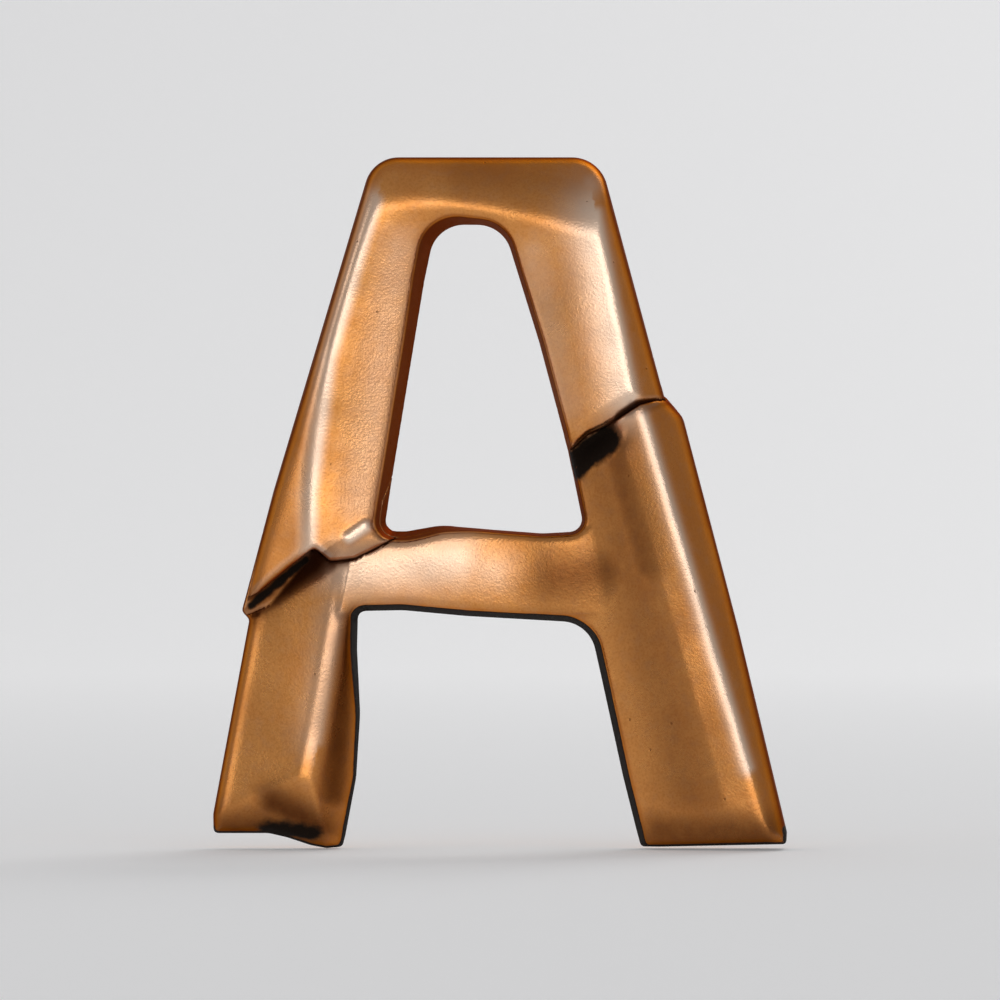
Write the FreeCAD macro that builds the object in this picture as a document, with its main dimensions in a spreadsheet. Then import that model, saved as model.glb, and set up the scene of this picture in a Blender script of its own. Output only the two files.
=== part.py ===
"""A leatherworker's letter A: two faceted castings, lapped across both legs, with four tapped posts.

The letter stands on its feet. X runs across it, -Y is its faceted front and +Z is up. The origin is
the bottom centre of the whole part. The upper casting, the arch, ends in front of two tongues that
stand up from the lower casting, which holds the crossbar and both feet. Each post's spigot is seated
in a blind socket in the flat back, and its barrel takes a slotted screw with a washer.

Castings are drawn with their flat backs on the plane Y = 0 and their fronts towards -Y, measured
from the left side of the letter (X) and from the floor (Z), and are then placed as a whole.
"""

import math
import os

import FreeCAD
import Part
import Sketcher

Vector = FreeCAD.Vector
Rotation = FreeCAD.Rotation
Placement = FreeCAD.Placement

# Two places nearer than this, in millimetres, are one place.
CLOSE = 1e-3

# Driving dimensions in millimetres and degrees. A name that ends in _x or _z is a place in the letter.
SIZES = {
    "letter_height": 38.1,
    "letter_width": 31.7,
    "ridge_height": 4.8,
    "foot_ridge_height": 3.9,
    "bar_height": 3.1,
    # the arch's outline, clockwise from its left lower tip
    "left_tip_x": 1.75,
    "left_tip_z": 13.65,
    "top_left_x": 8.6,
    "top_right_x": 21.5,
    "right_tip_x": 24.85,
    "right_tip_z": 24.6,
    "right_lap_x": 19.7,
    "right_lap_z": 21.75,
    "crown_right_x": 16.2,
    "crown_left_x": 12.4,
    "crown_z": 34.3,
    "counter_corner_x": 9.55,
    "counter_corner_z": 17.5,
    "left_lap_x": 11.0,
    "left_lap_z": 17.6,
    "left_notch_x": 7.0,
    "left_notch_z": 15.75,
    "left_cusp_x": 5.9,
    "left_cusp_z": 16.3,
    # the lower casting's outline, where it isn't the arch's, clockwise from its left shoulder
    "left_shoulder_x": 2.0,
    "left_shoulder_z": 13.81,
    "bar_crest_x": 12.4,
    "bar_crest_z": 17.75,
    "bar_top_right_x": 20.45,
    "bar_top_right_z": 17.2,
    "right_shoulder_x": 25.75,
    "right_shoulder_z": 24.0,
    "right_foot_outer_x": 31.825,
    "right_foot_inner_x": 23.85,
    "bar_under_right_x": 20.5,
    "bar_under_right_z": 12.7,
    "bar_under_left_x": 8.0,
    "bar_under_left_z": 13.05,
    "left_leg_inner_x": 8.2,
    "left_leg_inner_z": 7.6,
    "left_ankle_inner_x": 7.75,
    "left_ankle_inner_z": 2.4,
    "left_heel_inner_x": 7.35,
    "left_heel_outer_x": 5.7,
    "left_sole_x": 3.5,
    "left_sole_z": 0.75,
    "left_toe_z": 0.85,
    "left_ankle_outer_x": 0.1,
    "left_ankle_outer_z": 2.4,
    # corner radii
    "shoulder_radius": 1.6,
    "crown_radius": 1.7,
    "counter_radius": 0.65,
    "bar_top_radius": 0.8,
    "bar_under_radius": 1.2,
    "foot_radius": 0.45,
    # the places that ridges start from and end at
    "left_peak_x": 9.3,
    "left_peak_z": 36.5,
    "arch_left_end_x": 5.3,
    "arch_left_end_z": 13.3,
    "right_peak_x": 20.9,
    "right_peak_z": 35.0,
    "arch_right_end_x": 23.7,
    "arch_right_end_z": 21.0,
    "right_leg_start_x": 23.2,
    "right_leg_start_z": 25.5,
    "right_leg_end_x": 29.3,
    "right_leg_end_z": 2.6,
    "left_foot_start_x": 8.0,
    "left_foot_start_z": 17.4,
    "left_foot_end_x": 5.45,
    "left_foot_end_z": 4.2,
    "bar_start_x": 5.6,
    "bar_start_z": 15.5,
    "bar_end_x": 25.0,
    "bar_end_z": 15.0,
    "bar_half_flat": 1.9,
    # how steeply the facets fall from the ridges
    "outer_slope": 32.0,
    "inner_slope": 18.0,
    "top_slope": 40.0,
    "right_outer_slope": 45.0,
    "right_inner_slope": 18.0,
    "foot_outer_slope": 21.0,
    "foot_inner_slope": 48.0,
    "left_foot_hip": 25.0,
    "right_foot_hip": 26.0,
    "bar_slope": 45.0,
    "square_end": 85.0,
    # half laps: how far the tongues reach up behind the arch, and how thick they are
    "lap_reach_left": 3.2,
    "lap_reach_right": 2.6,
    "lap_thickness": 1.9,
    "lap_width": 14.0,
    "lap_drop": 3.0,
    # posts, washers and screws
    "post_radius": 2.0,
    "post_length": 3.0,
    "spigot_radius": 1.75,
    "spigot_length": 1.6,
    "socket_mouth_radius": 2.1,
    "post_bore_radius": 1.28,
    "post_bore_depth": 4.2,
    "post_chamfer": 0.25,
    "washer_radius": 2.5,
    "washer_bore_radius": 1.35,
    "washer_thickness": 0.5,
    "screw_radius": 1.25,
    "screw_length": 4.0,
    "screw_head_radius": 2.25,
    "screw_head_height": 1.6,
    "screw_head_round": 0.4,
    "screw_tip_chamfer": 0.3,
    "slot_width": 0.7,
    "slot_depth": 0.8,
    "post_upper_z": 28.8,
    "post_lower_z": 8.1,
    "post_upper_left_x": 8.65,
    "post_upper_right_x": 20.8,
    "post_lower_left_x": 4.7,
    "post_lower_right_x": 25.9,
}

# Each outline vertex is a pair of expressions in the sheet's names.
ARCH_OUTLINE = {
    "left_tip": ("left_tip_x", "left_tip_z"),
    "top_left": ("top_left_x", "letter_height"),
    "top_right": ("top_right_x", "letter_height"),
    "right_tip": ("right_tip_x", "right_tip_z"),
    "right_lap": ("right_lap_x", "right_lap_z"),
    "crown_right": ("crown_right_x", "crown_z"),
    "crown_left": ("crown_left_x", "crown_z"),
    "counter_corner": ("counter_corner_x", "counter_corner_z"),
    "left_lap": ("left_lap_x", "left_lap_z"),
    "left_notch": ("left_notch_x", "left_notch_z"),
    "left_cusp": ("left_cusp_x", "left_cusp_z"),
}
FRAME_OUTLINE = {
    "left_shoulder": ("left_shoulder_x", "left_shoulder_z"),
    "left_cusp": ("left_cusp_x", "left_cusp_z"),
    "left_notch": ("left_notch_x", "left_notch_z"),
    "left_lap": ("left_lap_x", "left_lap_z"),
    "bar_crest": ("bar_crest_x", "bar_crest_z"),
    "bar_top_right": ("bar_top_right_x", "bar_top_right_z"),
    "right_lap": ("right_lap_x", "right_lap_z"),
    "right_tip": ("right_tip_x", "right_tip_z"),
    "right_shoulder": ("right_shoulder_x", "right_shoulder_z"),
    "right_foot_outer": ("right_foot_outer_x", None),
    "right_foot_inner": ("right_foot_inner_x", None),
    "bar_under_right": ("bar_under_right_x", "bar_under_right_z"),
    "bar_under_left": ("bar_under_left_x", "bar_under_left_z"),
    "left_leg_inner": ("left_leg_inner_x", "left_leg_inner_z"),
    "left_ankle_inner": ("left_ankle_inner_x", "left_ankle_inner_z"),
    "left_heel_inner": ("left_heel_inner_x", None),
    "left_heel_outer": ("left_heel_outer_x", None),
    "left_sole": ("left_sole_x", "left_sole_z"),
    "left_toe": (None, "left_toe_z"),
    "left_ankle_outer": ("left_ankle_outer_x", "left_ankle_outer_z"),
}
ARCH_ROUNDS = {
    "shoulder_radius": ["top_left", "top_right"],
    "crown_radius": ["crown_left", "crown_right"],
    "counter_radius": ["counter_corner"],
}
FRAME_ROUNDS = {
    "bar_top_radius": ["bar_top_right"],
    "bar_under_radius": ["bar_under_right"],
    "foot_radius": ["bar_under_left", "right_foot_inner", "right_foot_outer", "right_shoulder"],
}

# Each roof: its ridge's start and end, its height, then how steeply it falls to the left and the right
# of someone walking the ridge, and beyond its start and its end.
ARCH_ROOFS = {
    "arch_left": ("left_peak", "arch_left_end", "ridge_height")
    + ("inner_slope", "outer_slope", "top_slope", "square_end"),
    "arch_top": ("left_peak", "right_peak", "ridge_height")
    + ("top_slope", "inner_slope", "outer_slope", "square_end"),
    "arch_right": ("right_peak", "arch_right_end", "ridge_height")
    + ("right_outer_slope", "right_inner_slope", "top_slope", "square_end"),
}
FRAME_ROOFS = {
    "right_leg": ("right_leg_start", "right_leg_end", "ridge_height")
    + ("right_outer_slope", "right_inner_slope", "square_end", "right_foot_hip"),
    "left_foot": ("left_foot_start", "left_foot_end", "foot_ridge_height")
    + ("foot_inner_slope", "foot_outer_slope", "square_end", "left_foot_hip"),
    "bar": ("bar_start", "bar_end", "bar_height")
    + ("bar_slope", "bar_slope", "square_end", "square_end"),
}
HALF_FLATS = {"bar": "sizes.bar_half_flat"}

POSTS = {
    "upper_left": ("post_upper_left_x", "post_upper_z"),
    "upper_right": ("post_upper_right_x", "post_upper_z"),
    "lower_left": ("post_lower_left_x", "post_lower_z"),
    "lower_right": ("post_lower_right_x", "post_lower_z"),
}
ARCH_POSTS = ["upper_left", "upper_right"]
FRAME_POSTS = ["lower_left", "lower_right"]

# The casting and what stands out behind it share the part's depth, which is centred on Y = 0.
STAND_OUT = "(sizes.post_length + sizes.washer_thickness + sizes.screw_head_height)"
BACK_Y = f"(sizes.ridge_height - {STAND_OUT}) / 2"
LEFT_X = "-sizes.letter_width / 2"

doc = FreeCAD.newDocument("letter_stamp")
sheet = doc.addObject("Spreadsheet::Sheet", "sizes")


def fill_sheet():
    for row, (name, value) in enumerate(SIZES.items(), start=1):
        sheet.set(f"A{row}", name)
        sheet.set(f"B{row}", str(value))
        sheet.setAlias(f"B{row}", name)
    doc.recompute()


def value(name):
    """A cell's number, or 0 for no cell."""
    return float(sheet.get(name)) if name else 0.0


def bind(thing, **expressions):
    for prop, expression in expressions.items():
        thing.setExpression(prop, expression)


def place(thing, x=None, y=None, z=None):
    """Binds a sub-part's place to expressions."""
    for axis, expression in (("x", x), ("y", y), ("z", z)):
        if expression:
            thing.setExpression(f"Placement.Base.{axis}", expression)


def origin_plane(body, role):
    return next(f for f in body.Origin.OriginFeatures if f.Role == role)


def sketch_on(body, name, role):
    sketch = body.newObject("Sketcher::SketchObject", name)
    sketch.AttachmentSupport = (origin_plane(body, role), [""])
    sketch.MapMode = "FlatFace"
    return sketch


def size_vertex(sketch, line, place_name, direction, cell):
    """Sets one coordinate of a line's first point: on the axis, or at a cell's distance from it."""
    start, origin = 1, (-1, 1)
    if cell is None:
        axis = -2 if direction == "X" else -1
        sketch.addConstraint(Sketcher.Constraint("PointOnObject", line, start, axis))
        return
    constraint = Sketcher.Constraint(f"Distance{direction}", *origin, line, start, value(cell))
    index = sketch.addConstraint(constraint)
    sketch.renameConstraint(index, f"{place_name}_{direction.lower()}")
    sketch.setExpression(f"Constraints[{index}]", f"sizes.{cell}")


def draw_polygon(sketch, vertices):
    """A closed polygon whose vertices are named pairs of cells."""
    points = [Vector(value(u), value(v), 0) for u, v in vertices.values()]
    count = len(points)
    for i, point in enumerate(points):
        sketch.addGeometry(Part.LineSegment(point, points[(i + 1) % count]), False)
    for i in range(count):
        sketch.addConstraint(Sketcher.Constraint("Coincident", i, 2, (i + 1) % count, 1))
    for i, (name, (u, v)) in enumerate(vertices.items()):
        size_vertex(sketch, i, name, "X", u)
        size_vertex(sketch, i, name, "Y", v)


def draw_circle(sketch, cell):
    circle = Part.Circle(Vector(0, 0, 0), Vector(0, 0, 1), value(cell))
    index = sketch.addGeometry(circle, False)
    sketch.addConstraint(Sketcher.Constraint("Coincident", index, 3, -1, 1))
    radius = sketch.addConstraint(Sketcher.Constraint("Radius", index, value(cell)))
    sketch.setExpression(f"Constraints[{radius}]", f"sizes.{cell}")


def edges_at(shape, points):
    """Names of the edges that run along Y through these (x, z) places."""
    names = []
    for number, edge in enumerate(shape.Edges, start=1):
        ends = [vertex.Point for vertex in edge.Vertexes]
        if len(ends) != 2 or abs(ends[0].x - ends[1].x) + abs(ends[0].z - ends[1].z) > CLOSE:
            continue
        if any(math.hypot(ends[0].x - x, ends[0].z - z) < CLOSE for x, z in points):
            names.append(f"Edge{number}")
    return names


def blank(name, outline, rounds):
    """A casting's full outline, as thick as its highest ridge, with its corners rounded."""
    body = doc.addObject("PartDesign::Body", name)
    sketch = sketch_on(body, f"{name}_outline", "XZ_Plane")
    draw_polygon(sketch, outline)
    pad = body.newObject("PartDesign::Pad", f"{name}_pad")
    pad.Profile = sketch
    bind(pad, Length="sizes.ridge_height")
    doc.recompute()
    if pad.Shape.BoundBox.YMax > CLOSE:
        pad.Reversed = True
        doc.recompute()
    last = pad
    for radius, corners in rounds.items():
        points = [tuple(value(cell) for cell in outline[corner]) for corner in corners]
        fillet = body.newObject("PartDesign::Fillet", f"{name}_{radius}")
        fillet.Base = (last, edges_at(last.Shape, points))
        bind(fillet, Radius=f"sizes.{radius}")
        doc.recompute()
        last = fillet
    return body


def place_named(name):
    return Vector(value(f"{name}_x"), 0, value(f"{name}_z"))


def roof(name, start_name, end_name, height, left_slope, right_slope, start_slope, end_slope):
    """A hipped roof along a ridge: facets fall from the ridge to both sides and to both ends."""
    start, end = place_named(start_name), place_named(end_name)
    along = (end - start).normalize()
    front = Vector(0, -1, 0)
    half_flat = HALF_FLATS.get(name, "0")
    across, down = (f"(sizes.{end_name}_{axis} - sizes.{start_name}_{axis})" for axis in "xz")
    run = f"sqrt({across}^2 + {down}^2)"

    def fall(slope):
        return f"sizes.{height} / tan(sizes.{slope} * 1 deg)"

    wedge = doc.addObject("Part::Wedge", f"{name}_roof")
    bind(
        wedge,
        Ymin="0",
        Ymax=f"sizes.{height}",
        Xmin=f"-{fall(right_slope)} - {half_flat}",
        Xmax=f"{fall(left_slope)} + {half_flat}",
        X2min=f"-{half_flat}",
        X2max=half_flat,
        Zmin=f"-{fall(start_slope)}",
        Zmax=f"{run} + {fall(end_slope)}",
        Z2min="0",
        Z2max=run,
    )
    wedge.Placement = Placement(start, Rotation(front.cross(along), front, along, "ZXY"))
    return wedge


def lap_zone(side, low, high):
    """The slab behind the arch's lower end that its half lap takes, along the line from low to high."""
    start, end = place_named(low), place_named(high)
    along = (end - start).normalize()
    slab = doc.addObject("Part::Box", f"{side}_lap_zone")
    bind(
        slab,
        Length="sizes.lap_width",
        Width="sizes.lap_thickness",
        Height=f"sizes.lap_drop + sizes.lap_reach_{side}",
    )
    middle = (start + end) * 0.5
    up = along.cross(Vector(0, 1, 0))
    corner = middle - along * (value("lap_width") / 2) - up * value("lap_drop")
    corner.y = -value("lap_thickness")
    slab.Placement = Placement(corner, Rotation(along, Vector(0, 1, 0), up, "XZY"))
    return slab


def socket(name):
    """A blind socket for a post's spigot, with a mouth countersunk at 45 degrees for the braze."""
    x, z = POSTS[name]
    hole = doc.addObject("Part::Cylinder", f"socket_{name}")
    bind(hole, Radius="sizes.spigot_radius", Height="sizes.spigot_length")
    mouth = doc.addObject("Part::Cone", f"socket_mouth_{name}")
    bind(
        mouth,
        Radius1="sizes.socket_mouth_radius",
        Radius2="sizes.spigot_radius",
        Height="sizes.socket_mouth_radius - sizes.spigot_radius",
    )
    for cut in (hole, mouth):
        cut.Placement = Placement(Vector(value(x), 0, value(z)), Rotation(Vector(1, 0, 0), 90))
    return [hole, mouth]


def boolean(kind, name, *shapes):
    """A Part boolean: MultiFuse and MultiCommon take any number of shapes, Cut takes a base and a tool."""
    made = doc.addObject(f"Part::{kind}", name)
    if kind == "Cut":
        made.Base, made.Tool = shapes
    else:
        made.Shapes = list(shapes)
    made.Refine = True
    return made


def castings():
    """The arch and the lower casting, which share their laps face to face."""
    arch_blank = blank("arch_blank", ARCH_OUTLINE, ARCH_ROUNDS)
    frame_blank = blank("frame_blank", FRAME_OUTLINE, FRAME_ROUNDS)
    arch_roofs = boolean("MultiFuse", "arch_roofs", *[roof(n, *s) for n, s in ARCH_ROOFS.items()])
    frame_roofs = boolean("MultiFuse", "frame_roofs", *[roof(n, *s) for n, s in FRAME_ROOFS.items()])
    faceted_arch = boolean("MultiCommon", "faceted_arch", arch_blank, arch_roofs)
    faceted_frame = boolean("MultiCommon", "faceted_frame", frame_blank, frame_roofs)
    laps = boolean(
        "MultiFuse",
        "lap_zones",
        lap_zone("left", "left_tip", "left_lap"),
        lap_zone("right", "right_lap", "right_tip"),
    )
    tongues = boolean("MultiCommon", "tongues", faceted_arch, laps)
    arch_sockets, frame_sockets = (sum(map(socket, names), []) for names in (ARCH_POSTS, FRAME_POSTS))
    arch_cuts = boolean("MultiFuse", "arch_cuts", laps, *arch_sockets)
    arch = boolean("Cut", "arch", faceted_arch, arch_cuts)
    frame = boolean("MultiFuse", "frame_with_tongues", faceted_frame, tongues)
    frame_cuts = boolean("MultiFuse", "frame_cuts", *frame_sockets)
    lower = boolean("Cut", "lower_frame", frame, frame_cuts)
    for casting in (arch, lower):
        place(casting, x=LEFT_X, y=BACK_Y)
    return [arch, lower]


def stand_behind(body, name, height="0"):
    """Stands a body on the letter's back, or this far behind it, its own +Z towards +Y, at a post's place."""
    x, z = POSTS[name]
    body.Placement = Placement(Vector(0, 0, 0), Rotation(Vector(1, 0, 0), -90))
    place(body, x=f"sizes.{x} + {LEFT_X}", y=f"{BACK_Y} + {height}", z=f"sizes.{z}")


def ring_edges(shape, radius, height):
    """Names of the full circles of this radius at this height."""
    names = []
    for number, edge in enumerate(shape.Edges, start=1):
        curve = edge.Curve
        if not isinstance(curve, Part.Circle):
            continue
        if abs(curve.Radius - radius) < CLOSE and abs(curve.Center.z - height) < CLOSE:
            names.append(f"Edge{number}")
    return names


def dress(body, kind, base, radius, height, size):
    """A chamfer or fillet on a body's ring edge."""
    feature = body.newObject(f"PartDesign::{kind}", f"{body.Name}_{kind.lower()}")
    feature.Base = (base, ring_edges(base.Shape, radius, height))
    bind(feature, **{"Size" if kind == "Chamfer" else "Radius": f"sizes.{size}"})
    doc.recompute()
    return feature


def pad_circles(body, name, length, *cells):
    sketch = sketch_on(body, f"{name}_rings", "XY_Plane")
    for cell in cells:
        draw_circle(sketch, cell)
    pad = body.newObject("PartDesign::Pad", f"{name}_pad")
    pad.Profile = sketch
    bind(pad, Length=f"sizes.{length}")
    doc.recompute()
    return pad


def post(name):
    """A round post, bored from its tip for the screw, with a thinner spigot that the casting holds."""
    body = doc.addObject("PartDesign::Body", f"post_{name}")
    barrel = pad_circles(body, f"post_{name}_barrel", "post_length", "post_radius")
    spigot = pad_circles(body, f"post_{name}_spigot", "spigot_length", "spigot_radius")
    spigot.Reversed = True
    doc.recompute()
    require(spigot.Shape.Volume > barrel.Shape.Volume, f"post_{name}'s spigot adds nothing")
    tip = dress(body, "Chamfer", spigot, value("post_radius"), value("post_length"), "post_chamfer")
    sketch = sketch_on(body, f"post_{name}_bore_ring", "XY_Plane")
    bind(sketch, **{"AttachmentOffset.Base.z": "sizes.post_length"})
    draw_circle(sketch, "post_bore_radius")
    doc.recompute()
    solid_volume = tip.Shape.Volume
    bore = body.newObject("PartDesign::Pocket", f"post_{name}_bore")
    bore.Profile = sketch
    bind(bore, Length="sizes.post_bore_depth")
    doc.recompute()
    require(bore.Shape.Volume < solid_volume, f"post_{name}'s bore cuts nothing")
    stand_behind(body, name)
    return body


def washer(name):
    body = doc.addObject("PartDesign::Body", f"washer_{name}")
    pad_circles(body, f"washer_{name}", "washer_thickness", "washer_radius", "washer_bore_radius")
    stand_behind(body, name, "sizes.post_length")
    return body


def screw(name):
    """A cheese-head screw, its head's seat on its own Z = 0 and its shank below."""
    body = doc.addObject("PartDesign::Body", f"screw_{name}")
    head = pad_circles(body, f"screw_{name}_head", "screw_head_height", "screw_head_radius")
    shank = pad_circles(body, f"screw_{name}_shank", "screw_length", "screw_radius")
    shank.Reversed = True
    doc.recompute()
    require(shank.Shape.Volume > head.Shape.Volume, f"screw_{name}'s shank adds nothing")
    tip = dress(body, "Chamfer", shank, value("screw_radius"), -value("screw_length"), "screw_tip_chamfer")
    crown = dress(
        body, "Fillet", tip, value("screw_head_radius"), value("screw_head_height"), "screw_head_round"
    )
    cut_slot(body, name, crown)
    stand_behind(body, name, "sizes.post_length + sizes.washer_thickness")
    return body


def cut_slot(body, name, crown):
    """The driver slot, a rectangle across the head, cut down from its top."""
    sketch = sketch_on(body, f"screw_{name}_slot_sides", "XY_Plane")
    bind(sketch, **{"AttachmentOffset.Base.z": "sizes.screw_head_height"})
    half_length, half_width = value("screw_head_radius") + 1, value("slot_width") / 2
    corners = [
        Vector(-half_length, -half_width, 0),
        Vector(half_length, -half_width, 0),
        Vector(half_length, half_width, 0),
        Vector(-half_length, half_width, 0),
    ]
    for i, corner in enumerate(corners):
        sketch.addGeometry(Part.LineSegment(corner, corners[(i + 1) % len(corners)]), False)
    for i in range(len(corners)):
        sketch.addConstraint(Sketcher.Constraint("Coincident", i, 2, (i + 1) % len(corners), 1))
    for line, way in enumerate(("Horizontal", "Vertical", "Horizontal", "Vertical")):
        sketch.addConstraint(Sketcher.Constraint(way, line))
    sketch.addConstraint(Sketcher.Constraint("Symmetric", 0, 1, 2, 1, -1, 1))
    width = sketch.addConstraint(Sketcher.Constraint("DistanceY", 1, 1, 1, 2, 2 * half_width))
    length = sketch.addConstraint(Sketcher.Constraint("DistanceX", 0, 1, 0, 2, 2 * half_length))
    sketch.setExpression(f"Constraints[{width}]", "sizes.slot_width")
    sketch.setExpression(f"Constraints[{length}]", "2 * (sizes.screw_head_radius + 1)")
    doc.recompute()
    slot = body.newObject("PartDesign::Pocket", f"screw_{name}_slot")
    slot.Profile = sketch
    bind(slot, Length="sizes.slot_depth")
    doc.recompute()
    require(slot.Shape.Volume < crown.Shape.Volume, f"screw_{name}'s slot cuts nothing")


def require(condition, message):
    if not condition:
        raise RuntimeError(message)


def check_and_export(parts):
    doc.recompute()
    for thing in doc.Objects:
        require(not {"Invalid", "Error"} & set(thing.State), f"{thing.Name} is {thing.State}")
    os.makedirs("parts", exist_ok=True)
    for part in parts:
        shape = part.Shape
        require(not shape.isNull() and shape.isValid(), f"{part.Label} has no valid shape")
        require(len(shape.Solids) == 1, f"{part.Label} is {len(shape.Solids)} solids")
        shape.exportStep(f"parts/{part.Label}.step")
        print(f"{part.Label}: {shape.Volume:.2f} mm3")


fill_sheet()
sub_parts = castings()
for post_name in POSTS:
    sub_parts += [post(post_name), washer(post_name), screw(post_name)]
check_and_export(sub_parts)
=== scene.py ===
"""Looks for a leatherworker's letter A in antiqued copper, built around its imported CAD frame.

Shapes are solid fields, negative inside, that a surface net turns into meshes. They are written in the
letter's own axes, in millimetres: x from its left side, h forward from its flat back and z up from the
floor. `to_row` turns them into the frame's metres.
"""

import math
from itertools import product

import bmesh
import bpy
import numpy as np
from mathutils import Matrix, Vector


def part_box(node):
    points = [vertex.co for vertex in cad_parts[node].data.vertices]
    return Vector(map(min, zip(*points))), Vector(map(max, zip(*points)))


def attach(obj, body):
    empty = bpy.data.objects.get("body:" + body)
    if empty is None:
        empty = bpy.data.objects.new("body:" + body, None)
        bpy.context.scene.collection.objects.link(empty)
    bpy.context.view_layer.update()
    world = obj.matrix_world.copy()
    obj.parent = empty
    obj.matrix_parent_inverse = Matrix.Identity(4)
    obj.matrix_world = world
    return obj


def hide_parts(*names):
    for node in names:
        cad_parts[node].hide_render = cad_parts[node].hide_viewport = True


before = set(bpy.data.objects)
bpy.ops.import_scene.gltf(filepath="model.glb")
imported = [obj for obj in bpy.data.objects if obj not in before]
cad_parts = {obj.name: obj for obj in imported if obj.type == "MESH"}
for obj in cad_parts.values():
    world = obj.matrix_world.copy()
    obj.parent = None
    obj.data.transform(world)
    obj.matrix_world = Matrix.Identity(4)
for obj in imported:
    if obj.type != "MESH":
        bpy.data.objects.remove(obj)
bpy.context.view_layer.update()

MM = 0.001
UPPER = ("upper_left", "upper_right")
LOWER = ("lower_left", "lower_right")
CORNERS = UPPER + LOWER


# ---------------------------------------------------------------- the letter's own axes

ARCH_LOW, ARCH_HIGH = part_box("arch")
FRAME_LOW, FRAME_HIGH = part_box("lower_frame")
LEFT, FLOOR, BACK = FRAME_LOW.x, FRAME_LOW.z, ARCH_HIGH.y
WIDTH = (FRAME_HIGH.x - LEFT) / MM
HEIGHT = (ARCH_HIGH.z - FLOOR) / MM

# How far the main ridges stand off the back: the CAD's depth, less room for the front's waviness.
WAVE_ROOM = 0.13
RIDGE = (BACK - ARCH_LOW.y) / MM - WAVE_ROOM


def to_row(points):
    """Letter coordinates (x, h, z) in millimetres to the frame's metres."""
    x, h, z = points.T * MM
    return np.stack([LEFT + x, BACK - h, FLOOR + z], -1)


# ---------------------------------------------------------------- field tools


def smooth_max(a, b, band):
    """The larger of a and b, rounded where they are within this band of each other."""
    near = np.maximum(band - np.abs(a - b), 0) / band
    return np.maximum(a, b) + near * near * band / 4


def smooth_min(a, b, band):
    return -smooth_max(-a, -b, band)


def fade(value, start, end):
    """0 at start and 1 at end, with a soft step between."""
    t = np.clip((value - start) / (end - start), 0, 1)
    return t * t * (3 - 2 * t)


def slope(degrees):
    return math.tan(math.radians(degrees))


def right_of(line, x, z):
    """How far points lie to the right of someone walking along a line from its first end to its second."""
    (x0, z0), (x1, z1) = line
    run = math.hypot(x1 - x0, z1 - z0)
    return ((z1 - z0) * (x - x0) - (x1 - x0) * (z - z0)) / run


def from_segment(line, x, z):
    """How far points lie from a segment."""
    (x0, z0), (x1, z1) = line
    dx, dz = x1 - x0, z1 - z0
    t = np.clip(((x - x0) * dx + (z - z0) * dz) / (dx * dx + dz * dz), 0, 1)
    return np.hypot(x - x0 - t * dx, z - z0 - t * dz)


def rounded(corners, arc_step=0.2):
    """A closed path through (x, z, radius) corners, each radius drawn as an arc."""
    path = []
    for i, (x, z, radius) in enumerate(corners):
        here = np.array((x, z))
        back, ahead = (np.array(corners[(i + k) % len(corners)][:2]) - here for k in (-1, 1))
        back, ahead = back / np.linalg.norm(back), ahead / np.linalg.norm(ahead)
        if not radius:
            path.append(here)
            continue
        half = math.acos(np.clip(back @ ahead, -1, 1)) / 2
        middle = (back + ahead) / np.linalg.norm(back + ahead)
        centre = here + middle * radius / math.sin(half)
        reach = radius / math.tan(half)
        start, end = here + back * reach - centre, here + ahead * reach - centre
        turn = math.atan2(start[0] * end[1] - start[1] * end[0], start @ end)
        steps = max(2, math.ceil(abs(turn) * radius / arc_step))
        for angle in np.linspace(0, turn, steps + 1):
            c, s = math.cos(angle), math.sin(angle)
            path.append(centre + np.array((c * start[0] - s * start[1], s * start[0] + c * start[1])))
    return np.array(path)


def outline_distance(path, x, z):
    """Signed distance from points to a closed path: negative inside."""
    nearest = np.full(np.broadcast(x, z).shape, np.inf)
    inside = np.zeros(nearest.shape, bool)
    for (x0, z0), (x1, z1) in zip(path, np.roll(path, -1, 0)):
        dx, dz = x1 - x0, z1 - z0
        u, v = x - x0, z - z0
        t = np.clip((u * dx + v * dz) / (dx * dx + dz * dz), 0, 1)
        nearest = np.minimum(nearest, (u - t * dx) ** 2 + (v - t * dz) ** 2)
        if dz:
            inside ^= ((z0 <= z) != (z1 <= z)) & (u * dz * np.sign(dz) < v * dx * np.sign(dz))
    return np.where(inside, -1, 1) * np.sqrt(nearest)


def waves(seed, lengths, count=14):
    """A smooth random field over (x, z) between about -1 and 1, from plane waves of these lengths."""
    draw = np.random.default_rng(seed)
    length = draw.uniform(*lengths, count)
    angle, phase = draw.uniform(0, 2 * np.pi, (2, count))
    kx, kz = 2 * np.pi / length * np.cos(angle), 2 * np.pi / length * np.sin(angle)

    def field(x, z):
        total = sum(np.sin(a * x + b * z + c) for a, b, c in zip(kx, kz, phase))
        return total / math.sqrt(count)

    return field


# ---------------------------------------------------------------- the letter's outlines

# Laps: where the arch's two ends stop, from the letter's outer edge to its counter.
LEFT_LAP = [(1.76, 13.35), (2.6, 14.1), (4.2, 15.45), (5.7, 16.6)]
LEFT_LAP += [(6.55, 15.85), (7.9, 15.95), (9.4, 16.7), (11.3, 17.75)]
RIGHT_LAP = [(25.1, 24.75), (24.3, 24.62), (23.5, 24.4), (22.8, 23.95)]
RIGHT_LAP += [(21.6, 23.2), (20.7, 22.85), (19.2, 21.45)]
LAP_ROUND = 0.3

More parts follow.
